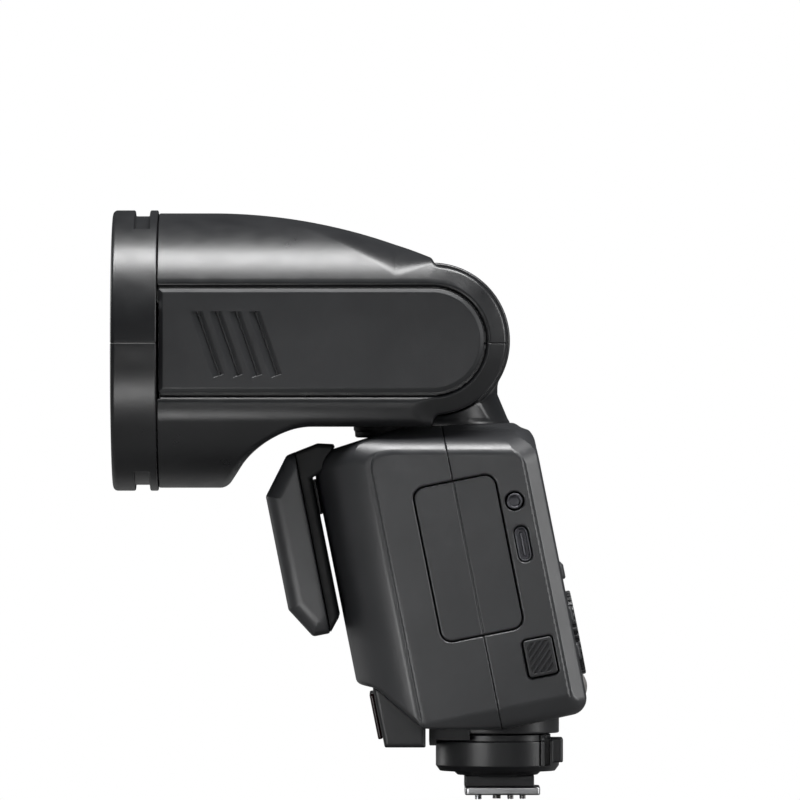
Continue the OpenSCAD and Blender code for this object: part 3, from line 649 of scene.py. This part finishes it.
def chin_cover(x, y, z):
    """Cover under the body's front edge, hollow above and open towards the body."""
    ax = np.abs(x)
    form = rmax(polygon(y, z, CHIN, 0.4), ax - 24, 1.2)
    inside = polygon(y, z, [(-29.2, 15), (-21.5, 15), (-21.5, 32), (-32.7, 32)])
    form = carve(form, np.maximum(inside, ax - 22.4), 0.2)
    return carve(form, body_form(x, y, z) - 0.1, 0.15)


def sensor_window(x, y, z):
    return rmax(polygon(y, z, SENSOR, 0.35), np.abs(x) - 18, 0.8)


def base_boss(x, y, z):
    """Round boss between the body and the locking ring, with a tongue towards the chin."""
    radial = np.hypot(x, y - LOCK_Y)
    drum = rmax(radial - LOCK_R, 16.7 - z, 0.35)
    tongue = rmax(np.maximum(np.abs(x) - 15, slab(y, -18.9, -8)), slab(z, 16.7, 19.7), 0.2)
    lip = rmax(np.maximum(np.abs(x) - 15, slab(y, -18.9, -17.0)), slab(z, 13.6, 18), 0.2)
    ledge = np.maximum(np.maximum(np.abs(x) - 15, slab(y, -18.9, -8)), slab(z, 15.0, 17))
    ledge = np.maximum(ledge, 14.9 - radial)
    form = rmin(drum, np.minimum(np.minimum(tongue, lip), ledge), 0.3)
    form = carve(form, body_form(x, y, z) - 0.1, 0.1)
    return carve(form, radial - 8.1, 0.2)


LOCK_PROFILE = [(5, 5.3), (10.8, 5.3), (12, 6.4), (15.6, 6.4), (16.7, 7.9), (16.7, 14.6),
                (14.4, 14.6), (14.4, 16.4), (5, 16.4)]


def lock_ring(x, y, z):
    """Smooth locking ring with a lever at the back that is slotted on both sides."""
    radial = np.hypot(x, y - LOCK_Y)
    ring = polygon(radial, z, LOCK_PROFILE, 0.3)
    lever = rmax(rect(x, y - 13.65, 15, 7.3, 1.2), slab(z, 8.8, 15.3), 0.4)
    form = rmin(ring, lever, 0.4)
    slot = np.maximum(slab(y, 12.4, 13.8), 5.8 - np.abs(x))
    line = np.maximum(slab(y, 10.9, 11.2), 7.1 - np.abs(x))
    form = carve(form, np.maximum(np.minimum(slot, line), 8 - z), 0.2)
    return carve(form, radial - 8.05, 0.2)


def pin_holes(x, y, z):
    holes = np.minimum(disc(x, y, 0, -5.6, 0.95), disc(x, y, 0, -0.6, 1.2))
    pairs = np.minimum(disc(np.abs(x), y, 3.8, 3.1, 0.9), disc(np.abs(x), y, 2, 6.4, 0.9))
    return np.minimum(holes, pairs)


def foot_block(x, y, z):
    block = rmax(rect(x, y - 0.05, 12.2, 18.9, 0.6), slab(z, 2.25, 5.2), 0.2)
    stem = rmax(disc(x, y, 0, LOCK_Y, 8), slab(z, 5, 17.6), 0.2)
    form = rmin(block, stem, 0.1)
    form = carve(form, np.maximum(pin_holes(x, y, z), z - 8), 0.1)
    return carve(form, np.maximum(disc(x, y, 0, -5.6, 2.05), slab(z, 7.4, 14.4)), 0.1)


def foot_plate(x, y, z):
    """Metal foot with rolled edges and a raised rib along each rail."""
    plate = rmax(rect(x, y - 0.9, 18.6, 20.4, 1.2), slab(z, 0, 2.2), 0.45)
    step = np.maximum(slab(np.abs(x), 6.6, 8.3), 2.05 - z)
    plate = carve(plate, rmax(step, np.abs(y - 0.9) - 9.4, 0.1), 0.1)
    return carve(plate, pin_holes(x, y, z), 0.15)


# ---------------------------------------------------------------- small front flash

SUB_SIDE = [(-50.1, 42.6), (-45, 34.2), (-40.3, 34.2), (-37.1, 38), (-37.1, 76), (-29.6, 79),
            (-29.6, 83.8), (-34, 84.9), (-42.5, 83.4), (-50.1, 73.7)]
SUB_SPLIT = -40.3
SUB_WINDOW = (0, 58.75, 43.8, 26.3)


def sub_flash_shell(x, y, z):
    t, h = leaning(y, z)
    ax = np.abs(x)
    form = rmax(polygon(t, h, SUB_SIDE, 1.4), ax - 27, 4.5)
    hollow = np.maximum(form + 1.5, ax - 25.5)
    form = carve(form, np.maximum(rect(x, h - SUB_WINDOW[1], 44, 26.5, 0.8), t + 44), 0.35)
    form = carve(form, hollow, 0.2)
    return rmax(form, t - SUB_SPLIT, 0.3)


def sub_flash_cover(x, y, z):
    """Narrower rear cover with a hook over the body's top edge and a slot for the rail."""
    t, h = leaning(y, z)
    ax = np.abs(x)
    form = rmax(polygon(t, h, SUB_SIDE, 0.7), ax - 24.5, 1.2)
    form = rmax(form, SUB_SPLIT + 0.1 - t, 0.3)
    form = carve(form, body_form(x, y, z) - 0.35, 0.2)
    slot = np.minimum(np.maximum(ax - 8.3, -41 - t), np.maximum(ax - 10.3, slab(t, -41, -38.4)))
    return carve(form, np.maximum(slot, h - 78.4), 0.15)


def sub_flash_window(x, y, z):
    """Window with fine vertical ribs inside it."""
    t, h = leaning(y, z)
    plate = rmax(rect(x, h - SUB_WINDOW[1], 43.8, 26.3, 0.7), slab(t, -50, -48.6), 0.25)
    rib = np.abs((x + 0.5) % 1.0 - 0.5)
    return np.maximum(plate, t + 48.6 + 0.35 - 0.5 * rib)


def sub_flash_reflector(x, y, z):
    t, h = leaning(y, z)
    outer = polygon(t, h, [(-48.4, 46), (-41.6, 54), (-41.6, 63.5), (-48.4, 71.5)], 0.2)
    inner = polygon(t, h, [(-49, 47), (-42.5, 54.6), (-42.5, 62.9), (-49, 70.5)], 0.5)
    shell = rmax(outer, np.abs(x) - 21, 0.3)
    return carve(shell, rmax(inner, np.abs(x) - 20.2, 0.5), 0.1)


def sub_flash_rail(x, y, z):
    t, h = leaning(y, z)
    ax = np.abs(x)
    base = rmax(np.maximum(ax - 13, slab(t, -36.95, -36.05)), slab(h, 66, 75.5), 0.15)
    web = rmax(np.maximum(ax - 8, slab(t, -39, -36.5)), slab(h, 66, 75.5), 0.15)
    tee = rmax(np.maximum(ax - 10, slab(t, -39.9, -38.6)), slab(h, 66, 75.5), 0.25)
    return np.minimum(np.minimum(base, web), tee)


# ---------------------------------------------------------------- materials

def material(name, colour, rough, metallic=0.0, grain=0.0, grain_mm=0.25, vary=0.12, wear=0.25, **extra):
    """Surface with uneven colour and roughness, moulded grain, and edges worn lighter."""
    mat = bpy.data.materials.new(name)
    mat.use_nodes = True
    tree = mat.node_tree
    surface_node = tree.nodes["Principled BSDF"]
    new, link = tree.nodes.new, tree.links.new
    place = new("ShaderNodeTexCoord").outputs["Object"]

    def noise(size_mm, detail):
        node = new("ShaderNodeTexNoise")
        node.inputs["Scale"].default_value = MM / size_mm
        node.inputs["Detail"].default_value = detail
        link(place, node.inputs["Vector"])
        return node.outputs["Fac"]

    def spread(value, low, high):
        node = new("ShaderNodeMapRange")
        node.inputs["From Min"].default_value = 0.3
        node.inputs["From Max"].default_value = 0.7
        node.inputs["To Min"].default_value = low
        node.inputs["To Max"].default_value = high
        link(value, node.inputs["Value"])
        return node.outputs["Result"]

    def blend(factor, a, b):
        node = new("ShaderNodeMix")
        node.data_type = "RGBA"
        link(factor, node.inputs["Factor"])
        for socket, value in (("A", a), ("B", b)):
            target = [s for s in node.inputs if s.name == socket and s.type == "RGBA"][0]
            if isinstance(value, tuple):
                target.default_value = value
            else:
                link(value, target)
        return [s for s in node.outputs if s.type == "RGBA"][0]

    dark = tuple(c * (1 - vary) for c in colour) + (1,)
    light = tuple(min(c * (1 + vary) + 0.002, 1) for c in colour) + (1,)
    worn = tuple(min(c * 1.8 + 0.02, 1) for c in colour) + (1,)
    base = blend(spread(noise(18, 4), 0, 1), dark, light)
    edge = new("ShaderNodeMapRange")
    edge.inputs["From Min"].default_value = 0.53
    edge.inputs["From Max"].default_value = 0.62
    edge.inputs["To Max"].default_value = wear
    link(new("ShaderNodeNewGeometry").outputs["Pointiness"], edge.inputs["Value"])
    patchy = new("ShaderNodeMath")
    patchy.operation = "MULTIPLY"
    link(edge.outputs["Result"], patchy.inputs[0])
    link(spread(noise(2.5, 5), 0.2, 1.0), patchy.inputs[1])
    link(blend(patchy.outputs[0], base, worn), surface_node.inputs["Base Color"])
    link(spread(noise(6, 5), rough * (1 - vary), rough * (1 + vary)), surface_node.inputs["Roughness"])
    surface_node.inputs["Metallic"].default_value = metallic
    if grain:
        bump = new("ShaderNodeBump")
        bump.inputs["Strength"].default_value = grain
        bump.inputs["Distance"].default_value = 0.05 / MM
        link(noise(grain_mm, 2), bump.inputs["Height"])
        link(bump.outputs["Normal"], surface_node.inputs["Normal"])
    for socket, value in extra.items():
        surface_node.inputs[socket.replace("_", " ")].default_value = value
    return mat


def make_materials():
    grey = lambda v: (v, v * 1.03, v * 1.12)
    return {
        "casing_plastic": material("moulded_casing", grey(0.012), 0.31, grain=0.3),
        "body_plastic": material("moulded_body", grey(0.024), 0.36, grain=0.35,
                                 Specular_IOR_Level=0.7),
        "sub_flash_plastic": material("moulded_sub_flash", grey(0.024), 0.38, grain=0.35,
                                      Specular_IOR_Level=0.75),
        "skirt_plastic": material("moulded_skirt", grey(0.007), 0.5, grain=0.3, Specular_IOR_Level=0.25),
        "ring_plastic": material("moulded_ring", grey(0.010), 0.31, grain=0.25),
        "panel_plastic": material("moulded_panel", grey(0.020), 0.38, grain=0.4),
        "battery_plastic": material("moulded_battery", grey(0.024), 0.36, grain=0.35,
                                    Specular_IOR_Level=0.65),
        "cover_plastic": material("moulded_cover", grey(0.018), 0.38, grain=0.35),
        "key_plastic": material("key_rubber", grey(0.030), 0.5, grain=0.3),
        "dial_plastic": material("dial", grey(0.020), 0.35, grain=0.2),
        "lock_plastic": material("lock", grey(0.016), 0.36, grain=0.3),
        "internal_plastic": material("internal", grey(0.03), 0.5, grain=0.3),
        "bush_plastic": material("acetal_bush", (0.72, 0.66, 0.5), 0.4, grain=0.2),
        "frosted_lens": material("frosted_lens", (0.86, 0.87, 0.88), 0.35, grain=0.5, wear=0.0, vary=0.03,
                                 Transmission_Weight=0.75, IOR=1.5),
        "test_lamp": material("test_lamp", (0.30, 0.29, 0.28), 0.3, vary=0.05, Transmission_Weight=0.4),
        "sensor_dark": material("sensor_window", (0.014, 0.004, 0.005), 0.16, vary=0.05),
        "display_glass": material("display_glass", (0.012, 0.013, 0.015), 0.07, vary=0.04, wear=0.1),
        "display_face": material("display_face", (0.16, 0.19, 0.2), 0.45, grain=0.1),
        "reflector_metal": material("reflector_metal", (0.85, 0.86, 0.88), 0.18, 1.0, vary=0.03, wear=0.1),
        "tube_glass": material("tube_glass", (0.9, 0.92, 0.95), 0.06, vary=0.02, wear=0.0,
                               Transmission_Weight=0.85, IOR=1.46),
        "board": material("circuit_board", (0.02, 0.13, 0.06), 0.42, grain=0.3, grain_mm=1.2),
        "steel": material("steel", (0.55, 0.56, 0.58), 0.28, 1.0, grain=0.15, wear=0.15),
        "dark_metal": material("dark_metal", (0.10, 0.10, 0.11), 0.32, 1.0, grain=0.1, wear=0.5),
        "pin_metal": material("pin_metal", (0.30, 0.29, 0.28), 0.35, 1.0, grain=0.1),
        "foot_metal": material("foot_metal", (0.62, 0.62, 0.63), 0.3, 1.0, grain=0.25, grain_mm=0.6),
        "gold_contact": material("gold_contact", (0.83, 0.6, 0.26), 0.22, 1.0, grain=0.1),
        "cell_wrap": material("cell_wrap", (0.05, 0.16, 0.36), 0.34, vary=0.08, grain=0.15),
        "capacitor_wrap": material("capacitor_wrap", (0.03, 0.035, 0.07), 0.3, vary=0.08, grain=0.15),
    }


# ---------------------------------------------------------------- pieces

BODIES = frame["record"]["behaviour"]["bodies"]
BODY_OF = {node: body for body, members in BODIES.items() for node in members}
COARSE, MEDIUM, FINE, TINY = 0.42, 0.32, 0.2, 0.12
PANEL_STEP = 0.24
SHAPES = [
    (head_shell_upper, COARSE, "casing_plastic"), (head_shell_lower, COARSE, "casing_plastic"),
    (front_ring_upper, MEDIUM, "ring_plastic"), (front_ring_lower, MEDIUM, "ring_plastic"),
    (neck, COARSE, "casing_plastic"),
    (body_shell_front, COARSE, "casing_plastic"), (body_shell_rear, COARSE, "casing_plastic"),
    (battery_case, MEDIUM, "battery_plastic"), (battery_release, TINY, "cover_plastic"),
    (sync_jack, TINY, "steel"), (usb_socket, TINY, "steel"),
    (power_switch, TINY, "key_plastic"), (test_key, TINY, "test_lamp"),
    (control_dial, FINE, "dial_plastic"), (set_key, FINE, "key_plastic"),
    (chin_cover, MEDIUM, "cover_plastic"), (sensor_window, FINE, "sensor_dark"),
    (base_boss, MEDIUM, "cover_plastic"), (lock_ring, FINE, "lock_plastic"),
    (foot_block, FINE, "cover_plastic"), (foot_plate, FINE, "foot_metal"),
    (sub_flash_shell, MEDIUM, "cover_plastic"), (sub_flash_cover, MEDIUM, "cover_plastic"),
    (sub_flash_window, FINE, "frosted_lens"), (sub_flash_reflector, MEDIUM, "reflector_metal"),
    (sub_flash_rail, MEDIUM, "cover_plastic"),
]
# Pieces whose finish differs from the rest of their material slot
LOOK_OF = {"body_shell_front": "body_plastic", "body_shell_rear": "body_plastic",
           "sub_flash_shell": "sub_flash_plastic", "sub_flash_cover": "skirt_plastic",
           "sync_jack": "dark_metal", "usb_socket": "dark_metal", "contact_pins": "pin_metal"}
KEPT = {
    "steel": ["accessory_magnets", "zoom_guide_rods", "zoom_motor", "head_screws", "tilt_axle",
              "swivel_retaining_ring", "body_screws", "locking_pin", "pin_spring"],
    "board": ["modelling_light_board", "main_board"],
    "gold_contact": ["zoom_lead_screw", "contact_pins"],
    "internal_plastic": ["zoom_carriage", "battery_bay"],
    "bush_plastic": ["tilt_bushes"],
    "cell_wrap": ["battery_cells"],
    "capacitor_wrap": ["flash_capacitor"],
    "display_face": ["display_panel"],
    "tube_glass": ["flash_tube", "sub_flash_tube"],
}


def make_shapes(looks):
    for field, step, slot in SHAPES:
        name = field.__name__
        moulded(name, field, step, BODY_OF[name], slot, looks[LOOK_OF.get(name, slot)])
    for name, key in KEYS.items():
        moulded(name, key_field(key, 0.9), FINE, BODY_OF[name], "key_plastic", looks["key_plastic"])
    for name in ("side_panel_left", "side_panel_right"):
        moulded(name, side_panel, PANEL_STEP, BODY_OF[name], "panel_plastic", looks["panel_plastic"])


def make_lens(looks):
    """Front lens with a shallow crown outside and fine stepped rings inside."""
    front = [(34.1, 103.2), (33.9, 103.4), (24, 103.9), (12, 104.2), (0, 104.3)]
    pitch = 1.3
    back = [(0, 102.0)]
    for i in range(25):
        back += [((i + 1) * pitch - 0.05, 101.75), ((i + 1) * pitch, 102.0)]
    lens = lathed("look_front_lens", back + [(34.1, 101.75)] + front, (0, 0, LENS_Z), (0, -1, 0))
    dress(lens, "head", "frosted_lens", looks["frosted_lens"], ["front_lens"])


def make_reflector(looks):
    """Bright bowl that opens towards the lens."""
    depth, steps = 18.0, 24
    bowl = [(14 + 12 * math.sqrt(k / steps), 78.9 + depth * k / steps) for k in range(steps + 1)]
    inner = [(r - 0.8, h) for r, h in reversed(bowl)]
    bowl_piece = lathed("look_reflector", bowl + inner, (0, 0, LENS_Z), (0, -1, 0))
    dress(bowl_piece, "zoom", "reflector_metal", looks["reflector_metal"], ["reflector"])


def make_window(looks):
    """Display window: one pane with a rounded rim."""
    def pane(x, y, z):
        t, h = leaning(y, z)
        return rmax(rect(x, h - WINDOW_H, 50, 29, 1.2), slab(t, BODY_BACK - 1.6, BODY_BACK - 0.1), 0.25)
    moulded("display_window", pane, MEDIUM, "body", "display_glass", looks["display_glass"])


def keep_nodes(looks):
    """Materials and softened edges for the CAD nodes that are shown as they are."""
    for slot, names in KEPT.items():
        for name in names:
            node = frame["nodes"][name]
            node.data.materials.clear()
            node.data.materials.append(looks[LOOK_OF.get(name, slot)])
            bevel = node.modifiers.new("soft edges", "BEVEL")
            bevel.width = 0.12 / MM
            bevel.segments = 2
            bevel.limit_method = "ANGLE"


# ---------------------------------------------------------------- light and camera

WHITE = 1.0
AMBIENT = 0.06
# Name, place in metres, width and height in metres, and power in watts of each soft box
LAMPS = [
    ("overhead", (0.16, -0.05, 1.2), (1.6, 0.32), 36),
    ("camera_side", (0.42, 0.02, 0.095), (0.32, 0.03), 0.14),
    ("rim", (-1.0, -1.4, 0.1), (0.4, 1.2), 9),
    ("rear_side", (0.3, 1.5, 0.5), (0.4, 1.2), 12),
    ("below", (0.16, -0.105, 0.003), (0.10, 0.07), 0.14),
]


def soft_box(name, place, target, size, power):
    light = bpy.data.lights.new(name, "AREA")
    light.shape = "RECTANGLE"
    light.size, light.size_y = size
    light.energy = power
    lamp = bpy.data.objects.new(name, light)
    bpy.context.collection.objects.link(lamp)
    lamp.location = place
    lamp.rotation_euler = (Vector(target) - Vector(place)).to_track_quat("-Z", "Y").to_euler()
    return lamp


def camera_only_white(tree, other, strength):
    """White for what the camera sees directly, and another shader for the light that is reflected."""
    new, link = tree.nodes.new, tree.links.new
    white = new("ShaderNodeEmission" if other.type != "BACKGROUND" else "ShaderNodeBackground")
    white.inputs["Color"].default_value = (1, 1, 1, 1)
    white.inputs["Strength"].default_value = strength
    mix = new("ShaderNodeMixShader")
    link(new("ShaderNodeLightPath").outputs["Is Camera Ray"], mix.inputs[0])
    link(other.outputs[0], mix.inputs[1])
    link(white.outputs[0], mix.inputs[2])
    output = [n for n in tree.nodes if n.type in ("OUTPUT_MATERIAL", "OUTPUT_WORLD")][0]
    link(mix.outputs[0], output.inputs["Surface"])


def make_studio():
    """Pale floor and white backdrop, a long soft box overhead and weaker ones at the sides."""
    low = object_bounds()[0].z
    mesh = bpy.data.meshes.new("floor")
    mesh.from_pydata([(-3, -3, low), (3, -3, low), (3, 3, low), (-3, 3, low)], [], [(0, 1, 2, 3)])
    floor = bpy.data.objects.new("floor", mesh)
    bpy.context.collection.objects.link(floor)
    pale = bpy.data.materials.new("pale_floor")
    pale.use_nodes = True
    paint = pale.node_tree.nodes["Principled BSDF"]
    paint.inputs["Base Color"].default_value = (0.12, 0.12, 0.12, 1)
    paint.inputs["Roughness"].default_value = 0.9
    camera_only_white(pale.node_tree, paint, WHITE)
    floor.data.materials.append(pale)
    world = bpy.data.worlds.new("studio")
    world.use_nodes = True
    dim = world.node_tree.nodes["Background"]
    dim.inputs["Color"].default_value = (0.9, 0.95, 1.0, 1)
    dim.inputs["Strength"].default_value = AMBIENT
    camera_only_white(world.node_tree, dim, WHITE)
    bpy.context.scene.world = world
    target = (0, -0.04, 0.09)
    lamps = [soft_box(*values[:2], target, *values[2:]) for values in LAMPS]


def make_camera():
    """Level view of the battery side, from far enough away to look almost flat."""
    camera = bpy.data.cameras.new("camera")
    camera.lens = 498
    camera.sensor_width = 36
    camera.clip_end = 20
    obj = bpy.data.objects.new("camera", camera)
    obj.location = (3.0, -0.0268, 0.1068)
    obj.rotation_euler = (math.radians(90), 0, math.radians(90))
    bpy.context.collection.objects.link(obj)
    bpy.context.scene.camera = obj


bpy.context.scene.view_settings.view_transform = "Standard"
looks = make_materials()
make_shapes(looks)
make_lens(looks)
make_reflector(looks)
make_window(looks)
keep_nodes(looks)
make_studio()
make_camera()
